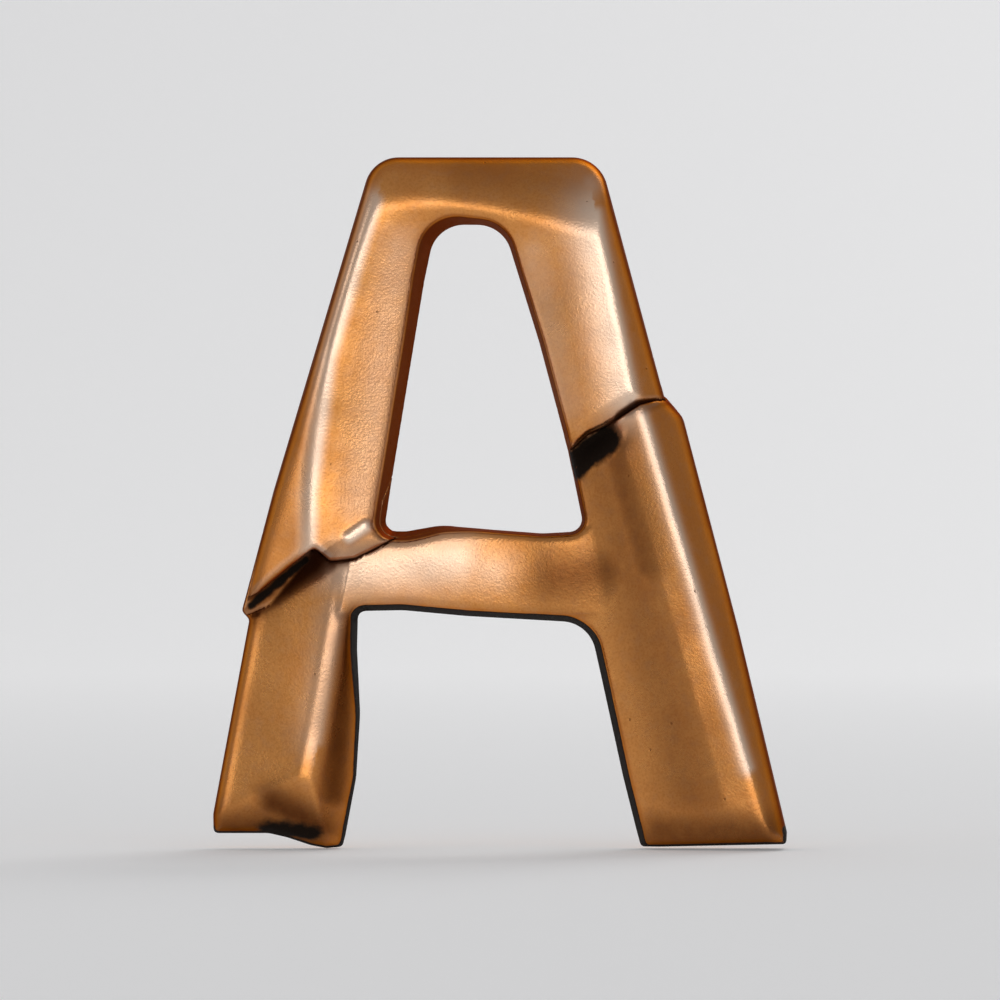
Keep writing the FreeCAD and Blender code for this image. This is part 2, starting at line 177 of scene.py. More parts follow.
# The letter's outer side: the arch's stretch clockwise from its left tip, then the lower casting's.
ARCH_SIDE = [(1.62, 13.1, 0.25), (3.36, 19.7, 0), (8.85, 38.1, 1.9), (21.35, 38.1, 2.0), (24.9, 24.9, 0)]
FRAME_SIDE = [(25.0, 24.85, 0.2), (25.95, 23.75, 1.1), (29.0, 12.1, 0), (31.68, 0.9, 0), (31.64, 0.22, 0.2)]
FRAME_SIDE += [(24.6, 0.08, 0), (23.3, 0.1, 0), (7.3, 0.1, 0), (6.3, 0, 0.3), (5.4, 0.17, 0.8)]
FRAME_SIDE += [(4.1, 0.6, 1.5), (3.1, 0.83, 1.5), (0.05, 0.83, 0.25), (0.03, 1.9, 0.8), (2.02, 12.6, 0.2)]

# The arch and the lower casting are what lies above and below the laps. Their own outlines follow the laps
# and stay clear of the letter elsewhere.
WHOLE_OUTLINE = rounded(ARCH_SIDE + FRAME_SIDE)
LAP_TURNS = [(x, z, LAP_ROUND) for x, z in LEFT_LAP[1:] + RIGHT_LAP[:0:-1]]
ARCH_OUTLINE = rounded([(-1, 12.4, 0), (-1, 40, 0), (27, 40, 0), (27, 24.85, 0)] + LAP_TURNS[::-1])
FRAME_OUTLINE = rounded(
    [(-1, -1, 0), (-1, 12.4, 0)] + LAP_TURNS + [(27, 24.85, 0), (33, 24, 0), (33, -1, 0)]
)
COUNTER = rounded(
    [(9.5, 17.5, 0.55), (9.95, 20.5, 0), (11.7, 31.2, 0), (12.35, 34.35, 1.9), (16.0, 34.35, 1.9)]
    + [(18.0, 27.9, 5), (19.6, 21.9, 3), (20.5, 17.5, 0.7), (18.2, 17.37, 4), (15.4, 17.58, 4)]
    + [(12.6, 17.83, 4), (10.7, 17.5, 1)]
)
LEG_GAP = rounded(
    [(8.05, 13.05, 0.4), (10.5, 13.1, 4), (14, 12.78, 0), (20.75, 12.4, 1.9), (21.4, 9.5, 0)]
    + [(22.6, 4.0, 0), (23.35, 1.0, 1), (23.9, -1, 0), (6.9, -1, 0), (7.35, 0.7, 0.5)]
    + [(7.95, 3.9, 3), (8.17, 7.4, 6), (8.0, 11.0, 6)]
)

# Half laps: the lower casting's tongues stand up behind the arch's ends, this far past these lines. They
# reach a little below the lines too, and their tops slant down towards the front.
TONGUES = [([(1.75, 13.65), (11.0, 17.6)], 3.2), ([(19.7, 21.75), (24.85, 24.6)], 2.6)]
TONGUE_THICKNESS = 1.9
TONGUE_SLANT = 0.6
TONGUE_DROP = 0.8

# In front, the lower casting runs on this far under the arch's lip, on a bed at least this step below the
# arch's front. The seam is the gap that is left around the arch.
BED_REACH = 0.8
BED_STEP = 0.14
SEAM = 0.02

# Ridges and creases. The arch's are walked clockwise, so that the counter is on the right.
ARCH_TOP_RIDGE = [(9.4, 36.45), (20.9, 34.95)]
ARCH_RIGHT_RIDGE = [(21.1, 34.9), (23.15, 24.9)]
FOOT_RIDGE = [(5.46, 4.2), (7.25, 13.8)]
LEG_RIDGE = [(29.45, 4.6), (23.7, 23.9)]
LEG_CREASE = [(27.95, 3.1), (22.3, 22.9)]

# Where the arch's left end comes down to the crossbar, and the two beads that stand on it.
BAR_END = [(6.4, 15.3), (11.3, 17.7)]
FLAT_BEAD = [(7.6, 17.1), (8.5, 17.75)]
TIP_BEAD = [(5.9, 16.45), (6.5, 16.05)]

# How the walls lean back: the outer side, the counter's left and right sides, and the gap between the legs.
OUTER_DRAFT = slope(3)
COUNTER_DRAFTS = slope(10), slope(3)
GAP_DRAFT = slope(7)

# The bands that edges are rounded over: the front's outer and inner edges, the back's edges, the walls where
# they meet, and each casting's lip along its laps.
OUTER_ROUND, INNER_ROUND, BACK_ROUND = 0.95, 0.45, 0.2
WALL_ROUND = 0.2
ARCH_LIP, FRAME_LIP = 0.5, 0.3

# Brings the facets' field near to true distance, which their slopes stretch.
ROOF_SCALE = 0.93


# ---------------------------------------------------------------- the castings' faceted fronts

ripple = waves(7, (2.4, 6))
swell = waves(11, (6, 14), 8)
RIPPLE, SWELL = 0.016, 0.04


def uneven(x, z):
    """The slight waviness that a casting's facets keep from its hand-cut pattern."""
    return RIPPLE * ripple(x, z) + SWELL * swell(x, z)


# The arch's left ridge: where it stands, the height above which it bows to the right, how sharply it does,
# and how much shorter true distances from it are than sideways ones.
LEFT_RIDGE_X = 5.8
LEFT_RIDGE_FOOT = 17
LEFT_RIDGE_BOW = 0.0105
LEFT_RIDGE_LEAN = 0.98


def right_of_left_ridge(x, z):
    """How far points lie to the right of the arch's left ridge, which bows to the right as it climbs."""
    climb = np.maximum(z - LEFT_RIDGE_FOOT, 0)
    return LEFT_RIDGE_LEAN * (x - LEFT_RIDGE_X - LEFT_RIDGE_BOW * climb**2)


def bowed(across, first, bend):
    """How far a facet has fallen at a distance from its ridge: gently at first, then faster."""
    return across * first + bend * np.maximum(across, 0) ** 2


def bead(line, x, z, height, width, power=2):
    """A low bead, or with a negative height a dip, along a segment. A higher power makes it flatter."""
    return height * np.exp(-((from_segment(line, x, z) / width) ** power))


def plane(height, place, rise, x, z):
    """A flat facet: its height at a place, and how steeply it rises along x and along z."""
    return height + rise[0] * (x - place[0]) + rise[1] * (z - place[1])


# The arch's facets: how steeply they fall from its left, top and right ridges, inward and outward, how fast
# the right inner one bends, how wide a flat band runs outside the left ridge, and how the left end falls.
INNER_LEFT, INNER_TOP, INNER_RIGHT = slope(18), slope(15.5), slope(3)
INNER_RIGHT_BEND = 0.022
OUTER_LEFT, OUTER_TOP, OUTER_RIGHT = slope(36), slope(40), slope(45)
LEFT_BAND = 0.65
BAR_END_HEIGHT = 3.6
BAR_END_SLOPE = slope(42)


def arch_front(x, z):
    """How far the arch's front stands off the back: inner facets, then outer ones, then its left end."""
    left = right_of_left_ridge(x, z)
    top = right_of(ARCH_TOP_RIDGE, x, z)
    right = right_of(ARCH_RIGHT_RIDGE, x, z)
    front = smooth_max(RIDGE - left * INNER_LEFT, RIDGE - top * INNER_TOP, band=1.2)
    front = smooth_max(front, RIDGE - bowed(right, INNER_RIGHT, INNER_RIGHT_BEND), band=1.0)
    front = smooth_min(front, RIDGE, band=0.2)
    front = smooth_min(front, RIDGE + (left + LEFT_BAND) * OUTER_LEFT, band=0.4)
    front = smooth_min(front, RIDGE + top * OUTER_TOP, band=1.3)
    front = smooth_min(front, RIDGE + right * OUTER_RIGHT, band=0.4)
    front = smooth_min(front, BAR_END_HEIGHT - right_of(BAR_END, x, z) * BAR_END_SLOPE, band=0.5)
    front += bead(FLAT_BEAD, x, z, height=0.12, width=0.36, power=4)
    front += bead(TIP_BEAD, x, z, height=0.12, width=0.25)
    return front + uneven(x, z)


# The left foot: how high its ridge's lower end is and how the ridge falls from there, how steep its facets
# are, and how its hip rises to the right and upward.
FOOT_HEIGHT = 4.0
FOOT_FALL = 0.04
FOOT_LEFT, FOOT_RIGHT = slope(21), slope(48)
FOOT_HIP_RISE = (0.128, 0.425)


def foot_front(x, z):
    """The left foot: a broad left facet, a steep right one and a hipped end."""
    across = right_of(FOOT_RIDGE, x, z)
    ridge = FOOT_HEIGHT - FOOT_FALL * (z - FOOT_RIDGE[0][1])
    front = smooth_min(ridge + across * FOOT_LEFT, ridge - across * FOOT_RIGHT, band=1.3)
    return smooth_min(front, plane(FOOT_HEIGHT, FOOT_RIDGE[0], FOOT_HIP_RISE, x, z), band=0.25)


# The right leg: the slopes of its front band, of what its inner facet adds to that, and of its outer facet,
# the depth of its hollow, and its hip, which stops at a line so that it doesn't cut the crossbar.
LEG_BAND, LEG_INNER, LEG_OUTER = slope(5), slope(15), slope(45)
LEG_HOLLOW = 0.16
LEG_HIP_HEIGHT, LEG_HIP_PLACE, LEG_HIP_RISE = 4.7, (28.1, 2.9), (0.2245, 0.3213)
LEG_START = 16


def leg_front(x, z):
    """The right leg: a steep outer facet, a narrow front band, a hollow inner facet and a hipped end."""
    across = right_of(LEG_RIDGE, x, z)
    inward = -right_of(LEG_CREASE, x, z)
    front = RIDGE + across * LEG_BAND - smooth_max(inward, 0, band=0.12) * LEG_INNER
    front -= LEG_HOLLOW * fade(inward, 0.3, 1.6) * (1 - fade(inward, 2.2, 4.4))
    front = smooth_min(front, RIDGE - across * LEG_OUTER, band=0.5)
    hip = plane(LEG_HIP_HEIGHT, LEG_HIP_PLACE, LEG_HIP_RISE, x, z)
    return np.where(x > LEG_START, smooth_min(front, hip, band=0.2), front)


# The crossbar: its height at its left end and fall to the right, its middle, how far from there its edges
# are, its crown, and how steeply it rolls off left of the foot's ridge.
BAR_LEFT, BAR_HEIGHT, BAR_FALL = 8, 3.35, 0.012
BAR_MIDDLE, BAR_HALF, BAR_CROWN = 15.3, 2.3, 0.03
BAR_ROLL = 1.5


def bar_front(x, z):
    """The crossbar, nearly flat, which falls away past its edges and left of the foot's ridge."""
    past_edges = np.maximum(np.abs(z - BAR_MIDDLE) - BAR_HALF, 0)
    past_ridge = np.maximum(-right_of(FOOT_RIDGE, x, z), 0)
    crown = BAR_CROWN * (z - BAR_MIDDLE) ** 2
    return BAR_HEIGHT - BAR_FALL * (x - BAR_LEFT) - crown - past_edges - BAR_ROLL * past_ridge


# The lower casting dips where it goes under the arch's lips: along these lines, this high and wide.
LAP_DIPS = [([(1.8, 14.0), (5.2, 16.2)], -0.7, 1.1), ([(19.6, 21.6), (21.6, 23.0)], -1.0, 0.8)]
WIDE_BLEND, TIGHT_BLEND = 1.6, 0.25


def frame_front(x, z):
    """The lower casting's front: foot, crossbar and leg, blended less widely towards the right."""
    front = smooth_max(foot_front(x, z), bar_front(x, z), band=0.9)
    blend = WIDE_BLEND + (TIGHT_BLEND - WIDE_BLEND) * fade(x, 18, 22)
    front = smooth_max(front, leg_front(x, z), blend)
    for line, height, width in LAP_DIPS:
        front += bead(line, x, z, height, width)
    return front + uneven(x, z)


# ---------------------------------------------------------------- the castings as solids


def outer_wall(x, h, z):
    return outline_distance(WHOLE_OUTLINE, x, z) + OUTER_DRAFT * h


def inner_walls(x, h, z):
    """The walls of the counter, which lean back more on its left, and of the gap between the legs."""
    left_draft, right_draft = COUNTER_DRAFTS
    counter_draft = left_draft + (right_draft - left_draft) * fade(x, 11, 15)
    counter = counter_draft * h - outline_distance(COUNTER, x, z)
    gap = GAP_DRAFT * h - outline_distance(LEG_GAP, x, z)
    return smooth_max(counter, gap, WALL_ROUND)


def faceted(front, lap, lip_round, x, h, z):
    """A casting's facets and walls, cut off at its lap with a rounded lip."""
    roof = (h - front) * ROOF_SCALE
    body = smooth_max(outer_wall(x, h, z), roof, OUTER_ROUND)
    body = smooth_max(body, smooth_max(inner_walls(x, h, z), roof, INNER_ROUND), WALL_ROUND)
    return np.maximum(body, smooth_max(lap, roof, lip_round))


def slab(tongue, x, h, z):
    """The slab behind an end of the arch that a tongue fills, kept to its own half of the letter."""
    line, reach = tongue
    above = -right_of(line, x, z)
    top = above - reach + TONGUE_SLANT * h
    bottom = -TONGUE_DROP - above
    middle = WIDTH / 2
    other_half = (x - middle) * math.copysign(1, middle - line[0][0])
    return np.maximum.reduce(np.broadcast_arrays(top, bottom, h - TONGUE_THICKNESS, other_half))


def slabs(x, h, z):
    return np.minimum(*(slab(tongue, x, h, z) for tongue in TONGUES))


# Braze: a stub inside each post's foot, this much thinner than the post, which runs from this deep in the
# casting to this far out of its back. Blending it with the back makes the fillet.
BRAZE_INSET = 0.08
BRAZE_ROOT, BRAZE_HEIGHT = 0.6, 0.3
BRAZE_FILLET = 0.3


def braze(solid, corners, x, h, z):
    """Adds the small fillet of braze around each post's foot."""
    for corner in corners:
        low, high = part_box(f"post_{corner}")
        radius = (high.x - low.x) / 2 / MM - BRAZE_INSET
        px, pz = ((low.x + high.x) / 2 - LEFT) / MM, ((low.z + high.z) / 2 - FLOOR) / MM
        around = np.hypot(x - px, z - pz) - radius
        stub = np.maximum.reduce(np.broadcast_arrays(around, -h - BRAZE_HEIGHT, h - BRAZE_ROOT))
        solid = smooth_min(solid, stub, BRAZE_FILLET)
    return solid


def arch_solid(x, h, z):
    """The arch, which leaves room for the tongues behind its ends."""
    solid = faceted(arch_front(x, z), outline_distance(ARCH_OUTLINE, x, z), ARCH_LIP, x, h, z)
    solid = smooth_max(solid, -h, BACK_ROUND)
    solid = smooth_max(solid, SEAM - slabs(x, h, z), band=0.03)
    return braze(solid, UPPER, x, h, z)


def frame_solid(x, h, z):
    """The lower casting, which fits closely around the arch's lip, and its two tongues."""
    front, past_lap = frame_front(x, z), outline_distance(FRAME_OUTLINE, x, z)
    bed = np.minimum(front, arch_front(x, z) - BED_STEP)
    body = faceted(front, past_lap, FRAME_LIP, x, h, z)
    body = np.minimum(body, faceted(bed, past_lap - BED_REACH, FRAME_LIP, x, h, z))
    body = np.maximum(body, SEAM - arch_solid(x, h, z))
    side = smooth_max(outer_wall(x, h, z), inner_walls(x, h, z), WALL_ROUND)
    tongues = smooth_max(side, slabs(x, h, z), band=0.1)
    solid = smooth_max(smooth_min(body, tongues, band=0.05), -h, BACK_ROUND)
    return braze(solid, LOWER, x, h, z)


# ---------------------------------------------------------------- meshes from fields


def surface_net(solid, low, high, cell):
    """Points and quads of a solid's surface, one point in each cell that the surface passes through."""
    axes = [np.arange(a - 2 * cell, b + 2 * cell, cell) for a, b in zip(low, high)]
    x, h, z = (axis.reshape([-1 if k == i else 1 for k in range(3)]) for i, axis in enumerate(axes))
    value = solid(x, h, z)
    cells, number = crossed_cells(value < 0)
    points = np.array([axis[0] for axis in axes]) + middle_of_crossings(value, cells) * cell
    return points, quads_around_edges(value < 0, number)


def crossed_cells(inside):
    """The cells of a grid that the surface passes through, and a grid of their numbers."""
    size = [n - 1 for n in inside.shape]
    corners = [tuple(slice(s, s + n) for s, n in zip(step, size)) for step in product((0, 1), repeat=3)]
    filled = sum(inside[corner].astype(np.int8) for corner in corners)
    cells = np.argwhere((filled > 0) & (filled < 8))
    number = np.full(size, -1)
    number[tuple(cells.T)] = np.arange(len(cells))
    return cells, number


def middle_of_crossings(value, cells):
    """The middle of the places where the surface crosses a cell's edges, for each cell, in grid steps."""
    total, count = np.zeros((len(cells), 3)), np.zeros(len(cells))
    for axis, side in product(range(3), product((0, 1), repeat=2)):
        start, end = np.insert(side, axis, 0), np.insert(side, axis, 1)
        a, b = (value[tuple((cells + corner).T)] for corner in (start, end))
        crosses = (a < 0) != (b < 0)
        share = np.where(crosses, a / np.where(crosses, a - b, 1), 0)
        total += crosses[:, None] * (start + share[:, None] * (end - start))
        count += crosses
    return cells + total / count[:, None]


def quads_around_edges(inside, number):
    """A quad for each grid edge that the surface crosses, between the points of the four cells around it."""
    quads = []
    for axis in range(3):
        u, v = [k for k in range(3) if k != axis]
        along = np.diff(inside.astype(np.int8), axis=axis)
        edges = np.argwhere(along)
        for k in (u, v):
            edges = edges[(edges[:, k] > 0) & (edges[:, k] < number.shape[k])]
        leaving = (along[tuple(edges.T)] < 0) ^ (axis == 1)
        step_u, step_v = np.eye(3, dtype=int)[[u, v]]
        around = [edges - step_u * i - step_v * j for i, j in ((1, 1), (0, 1), (0, 0), (1, 0))]
        ring = np.stack([number[tuple(cells.T)] for cells in around], -1)
        quads.append(np.where(leaving[:, None], ring, ring[:, ::-1]))
    return np.concatenate(quads)


def gradient(solid, points, tiny=2e-3):
    here = solid(*points.T)
    return here, np.stack([(solid(*(points + tiny * step).T) - here) / tiny for step in np.eye(3)], -1)


def settle(solid, points, cell, rounds=2):
    """Moves points onto a solid's surface, and gives how fast its field grows there, as a vector."""
    for _ in range(rounds):
        value, steepest = gradient(solid, points)
        move = (value / (steepest**2).sum(-1))[:, None] * steepest
        far = np.linalg.norm(move, axis=1, keepdims=True)
        points = points - move * np.minimum(1, cell / np.maximum(far, 1e-9))
    return points, steepest


def closed_in(field, points, steepest, reach):
    """How much of the room this far in front of points is taken: 0 on an open face, 1 in a crevice."""
    rate = np.linalg.norm(steepest, axis=1)
    ahead = points + steepest / rate[:, None] * reach
    return np.clip(1 - field(*ahead.T) / (rate * reach), 0, 1)


def stands_out(field, points, steepest, depth):
    """How sharply the surface turns outward at points: 0 on a flat face, towards 1 on an edge."""
    rate = np.linalg.norm(steepest, axis=1)
    below = points - steepest / rate[:, None] * depth
    return np.clip(1 + field(*below.T) / (rate * depth), 0, 1)


def mesh_object(name, points, faces, attributes=None):
    """A smooth mesh object in metres, with one number per point for each attribute."""
    mesh = bpy.data.meshes.new(name)
    mesh.from_pydata(points.tolist(), [], faces.tolist())
    for key, values in (attributes or {}).items():
        mesh.attributes.new(key, "FLOAT", "POINT").data.foreach_set("value", values.astype(np.float32))
    mesh.shade_smooth()
    piece = bpy.data.objects.new(name, mesh)
    bpy.context.scene.collection.objects.link(piece)
    return piece


# ---------------------------------------------------------------- the two castings

CELL = 0.122

# How far in front of the surface room is looked for, to find small and large crevices, how much the large
# ones count, and how deep below the surface edges are looked for.
NEAR, FAR = 0.35, 1.1
FAR_SHARE = 0.8
BELOW = 0.35

# The grid's room behind the back and in front of the ridges.
BACK_ROOM, FRONT_ROOM = 0.1, 0.2


def both_castings(x, h, z):
    return np.minimum(arch_solid(x, h, z), frame_solid(x, h, z))


def grainy(x, z):
    """Where the cast skin is left coarse: on the arch's left inner facet and the middle of the crossbar."""
    inward = right_of_left_ridge(x, z)
    on_leg = fade(inward, 0.5, 1.4) * fade(z, 17.5, 20) * (1 - fade(z, 31, 35)) * (x < WIDTH / 2)
    on_bar = 0.4 * fade(x, 13, 15) * (1 - fade(x, 17, 19.5)) * (z < 18)
    return np.maximum(on_leg, on_bar)


# Finish and painted light and shade along lines: how far each spreads to the line's left and right, and how
# strong it is.
# Ridges worn bright, and painted highlights where the lamps' reflections fall on facets, the crossbar, the
# beads and a corner.
RUBBED_AND_HIGHLIGHT = [
    ([(5.5, 15.9), (5.55, 19.5)], 0.6, 0.35, 0.9),
    ([(5.55, 19.5), (6.6, 27.0)], 0.6, 0.35, 0.9),
    ([(6.6, 27.0), (9.1, 35.6)], 0.6, 0.35, 0.9),
    (FLAT_BEAD, 0.35, 0.35, 1.2),
    ([(5.9, 16.5), (6.5, 16.1)], 0.25, 0.25, 0.9),
    ([(8.2, 19.0), (10.4, 33.0)], 1.2, 1.2, 0.3),
    ([(19.3, 24.5), (17.6, 32.5)], 1.0, 1.2, 0.25),
    (ARCH_RIGHT_RIDGE, 0.35, 1.7, 1.0),
    ([(20.2, 35.0), (20.8, 36.4)], 0.7, 0.6, 0.5),
    ([(5.9, 6.0), (7.1, 13.0)], 1.1, 0.3, 0.5),
    (LEG_RIDGE, 0.5, 0.3, 1.0),
    ([(7.4, 15.3), (13.4, 15.9)], 1.5, 1.5, 0.75),
    ([(12.0, 15.7), (15.5, 15.3)], 1.2, 1.2, 0.4),
]
# Painted shade on facets that face away from the lamps, on the feet's hips and under the laps' lips, with
# some brown patina.
SHADE_AND_PATINA = [
    ([(14.0, 37.0), (20.0, 36.4)], 1.2, 1.2, 0.25),
    ([(18.9, 15.2), (21.3, 15.2)], 1.9, 1.9, 0.8),
    ([(21.7, 20.5), (26.2, 3.5)], 2.6, 2.2, 0.55),
    ([(22.0, 21.8), (23.8, 15.5)], 1.6, 1.0, 0.75),
    ([(7.6, 12.6), (6.7, 3.0)], 0.9, 0.9, 0.8),
    ([(0.8, 1.2), (6.0, 1.5)], 1.3, 1.3, 0.75),
    ([(3.4, 2.6), (6.0, 1.2)], 1.2, 1.0, 0.93),
    ([(24.6, 1.0), (30.4, 1.0)], 1.3, 1.3, 0.75),
    ([(24.4, 24.4), (31.3, 1.5)], 0.7, 0.7, 0.15),
    ([(2.4, 13.7), (5.8, 16.1)], 0.5, 1.2, 0.85),
    ([(6.9, 15.7), (11.0, 17.6)], 0.6, 0.4, 0.35),
    ([(22.4, 23.8), (25.2, 24.7)], 0.35, 0.35, 0.5),
]
# Painted black shadow in the right lap's recess, under the left lap's lip and under the left foot's end.
PAINTED_SHADOW = [
    ([(19.9, 21.1), (21.7, 22.5)], 0.95, 0.95, 1.0),
    ([(2.2, 13.45), (5.2, 15.95)], 0.3, 0.36, 0.75),
    ([(3.0, 1.1), (5.6, 0.9)], 0.9, 0.7, 0.7),
]


def along_lines(finish, x, z):
    """How strong a finish, or a painted light or shade, is over the letter's front, from its lines."""
    strongest = np.zeros_like(x)
    for line, left, right, level in finish:
        reach = np.where(right_of(line, x, z) < 0, left, right)
        strongest = np.maximum(strongest, level * np.exp(-((from_segment(line, x, z) / reach) ** 2)))
    return strongest


def shadowed_walls(side, x, z):
    """Where black shadow is painted on the walls: in the gap between the legs and under the feet."""
    in_gap = 1 - fade(np.abs(outline_distance(LEG_GAP, x, z)), 0.4, 0.9)
    return fade(side, 0.45, 0.8) * np.maximum(in_gap, 1 - fade(z, 1.0, 1.6))


def casting(name, node, solid):
    """A casting's mesh, with the numbers that its finish and its painted light and shade are mixed from."""
    low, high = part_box(node)
    low = ((low.x - LEFT) / MM, -BACK_ROOM, (low.z - FLOOR) / MM)
    high = ((high.x - LEFT) / MM, RIDGE + FRONT_ROOM, (high.z - FLOOR) / MM)
    points, faces = surface_net(solid, low, high, CELL)
    points, steepest = settle(solid, points, CELL)
    x, h, z = points.T
    in_front = fade(h, 0.5, 1.5)
    near, far = (closed_in(both_castings, points, steepest, reach) for reach in (NEAR, FAR))
    side = 1 - np.abs(steepest[:, 1]) / np.linalg.norm(steepest, axis=1)
    attributes = {
        "crevice": np.maximum(near, FAR_SHARE * far),
        "edge": stands_out(solid, points, steepest, BELOW),
        "side": side,
        "grainy": grainy(x, z),
        # Worn ridges and painted highlights, painted shade with some patina, and painted black shadow, each
        # from its lines.
        "rubbed_and_highlight": along_lines(RUBBED_AND_HIGHLIGHT, x, z) * in_front,
        "shade_and_patina": along_lines(SHADE_AND_PATINA, x, z) * in_front,
        "painted_shadow": np.maximum(along_lines(PAINTED_SHADOW, x, z) * in_front, shadowed_walls(side, x, z)),
    }
    # The frame's axes are the letter's mirrored, so the faces are turned over.
    piece = mesh_object(name, to_row(points), faces[:, ::-1], attributes)
    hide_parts(node)
    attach(piece, "letter")
    return piece


# ---------------------------------------------------------------- posts, washers and screws

PITCH = 0.45
THREAD_DEPTH = 0.22
SHANK_RADIUS = 1.25
SHANK_LENGTH = 4.0
TIP_CHAMFER = 0.3
HEAD_HEIGHT = 1.6
HEAD_ROUND = 0.7
SLOT_WIDTH = 0.7
SLOT_DEPTH = 0.8
SCREW_CELL = 0.075
SLOT_ANGLES = {"upper_left": 24, "upper_right": -41, "lower_left": 68, "lower_right": 9}

# A post's bore and barrel, measured from its mouth. The barrel starts inside the casting's countersink.
BORE_RADIUS = 1.28
BORE_DEPTH = 4.2
DRILL_POINT = 0.3
THREAD_GROOVE = 0.06
THREAD_START, THREAD_END = 0.5, 3.4
SPIGOT_STEP = 0.25
BARREL_LENGTH = 3.0
MOUTH_CHAMFER, BORE_CHAMFER = 0.25, 0.2
WASHER_BORE = 1.35
TURNING_STEPS = 96


def spans(node):
    """A turned part's middle, where it starts along Y, its radius and its length, all in metres."""
    low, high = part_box(node)
    return Vector(((low.x + high.x) / 2, low.y, (low.z + high.z) / 2)), (high.x - low.x) / 2, high.y - low.y


HEAD_RADIUS = spans("screw_upper_left")[1] / MM


def screw_solid(u, v, w):
    """A cheese-head screw along w, its head's seat at 0 and a right-hand thread below it."""
    radius = np.hypot(u, v)
    head = smooth_max(radius - HEAD_RADIUS, w - HEAD_HEIGHT, HEAD_ROUND)
    head = smooth_max(head, -w, band=0.12)
    slot = np.maximum(np.abs(v) - SLOT_WIDTH / 2, HEAD_HEIGHT - SLOT_DEPTH - w)
    head = smooth_max(head, -slot, band=0.1)
    # The thread's crests and roots are flat. Slanted fields are scaled near to true distance.
    turns = w / PITCH - np.arctan2(v, u) / (2 * np.pi)
    groove = 1 - 2 * np.abs(turns - np.round(turns))
    crest = SHANK_RADIUS - THREAD_DEPTH * np.clip(1.3 * groove - 0.15, 0, 1)
    tip = radius - SHANK_RADIUS - w - SHANK_LENGTH + TIP_CHAMFER
    shank = smooth_max(0.8 * (radius - crest), 0.7 * tip, band=0.05)
    shank = smooth_max(shank, -w - SHANK_LENGTH, band=0.05)
    return np.minimum(head, np.maximum(shank, w - HEAD_HEIGHT / 4))


def screws():
    """One screw mesh, used four times, each screw driven home to its own angle."""
    low, high = (-HEAD_RADIUS, -HEAD_RADIUS, -SHANK_LENGTH), (HEAD_RADIUS, HEAD_RADIUS, HEAD_HEIGHT)
    points, faces = surface_net(screw_solid, low, high, SCREW_CELL)
    points, steepest = settle(screw_solid, points, SCREW_CELL)
    attributes = {
        "crevice": closed_in(screw_solid, points, steepest, reach=0.3),
        "edge": stands_out(screw_solid, points, steepest, depth=0.12),
    }
    turned_up = np.stack([points[:, 1], points[:, 2], points[:, 0]], -1) * MM
    first = mesh_object("screw_threaded_upper_left", turned_up, faces, attributes)
    made = [first] + [twin(first, f"screw_threaded_{corner}") for corner in CORNERS[1:]]
    for corner, screw in zip(CORNERS, made):
        node = f"screw_{corner}"
        start, _, length = spans(node)
        screw.location = start + Vector((0, length - HEAD_HEIGHT * MM, 0))
        screw.rotation_euler = (0, math.radians(SLOT_ANGLES[corner]), 0)
        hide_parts(node)
        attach(screw, node)
    return first


def twin(piece, name):
    """Another object with the same mesh."""
    other = bpy.data.objects.new(name, piece.data)
    bpy.context.scene.collection.objects.link(other)
    return other


def turned(name, profile, start):
    """A piece turned about an axis along Y, from a closed profile of (radius, along) in millimetres."""
    radius, along = (column[:, None] for column in profile.T)
    angle = np.linspace(0, 2 * np.pi, TURNING_STEPS, endpoint=False)[None]
    points = np.stack([radius * np.sin(angle), along + 0 * angle, radius * np.cos(angle)], -1)
    i, j = np.meshgrid(np.arange(len(profile)), np.arange(TURNING_STEPS), indexing="ij")
    next_i, next_j = (i + 1) % len(profile), (j + 1) % TURNING_STEPS
    corners = [(i, j), (i, next_j), (next_i, next_j), (next_i, j)]
    faces = np.stack([a * TURNING_STEPS + b for a, b in corners], -1).reshape(-1, 4)
    return mesh_object(name, points.reshape(-1, 3) * MM + np.array(start), faces)


def close_axis(piece):
    """Joins the points that lie on a turned piece's axis, so that its ends are whole."""
    mesh = bmesh.new()
    mesh.from_mesh(piece.data)
    bmesh.ops.remove_doubles(mesh, verts=mesh.verts, dist=1e-6)
    mesh.to_mesh(piece.data)
    mesh.free()


def post(corner):
    """A tapped post: its spigot and barrel, its chamfered mouth, and thread grooves down its bore."""
    start, radius, length = spans(f"post_{corner}")
    barrel, end = radius / MM, length / MM
    spigot, foot, bore_end = barrel - SPIGOT_STEP, end - BARREL_LENGTH, end - BORE_DEPTH
    grooves = [
        (BORE_RADIUS + out, top - share * PITCH, 0)
        for top in np.arange(end - THREAD_START, end - THREAD_END, -PITCH)
        for share, out in ((0, 0), (0.45, THREAD_GROOVE), (0.9, 0))
    ]
    corners = [(0, 0, 0), (spigot, 0, 0.1), (spigot, foot, 0), (barrel, foot, 0.05)]
    corners += [(barrel, end - MOUTH_CHAMFER, 0.1), (barrel - MOUTH_CHAMFER, end, 0.08)]
    corners += [(BORE_RADIUS + BORE_CHAMFER, end, 0.06), (BORE_RADIUS, end - BORE_CHAMFER, 0.05)]
    corners += grooves + [(BORE_RADIUS, bore_end, 0), (0, bore_end - DRILL_POINT, 0)]
    piece = turned(f"post_tapped_{corner}", rounded(corners, 0.05), start)
    close_axis(piece)
    return piece


def washer(corner):
    """A stamped washer: well rounded on its punched side, and nearly sharp on the other."""
    start, radius, length = spans(f"washer_{corner}")
    outer, thick = radius / MM, length / MM
    corners = [(WASHER_BORE, 0, 0.05), (outer, 0, 0.06), (outer, thick, 0.16), (WASHER_BORE, thick, 0.12)]
    return turned(f"washer_stamped_{corner}", rounded(corners, 0.04), start)


# ---------------------------------------------------------------- materials


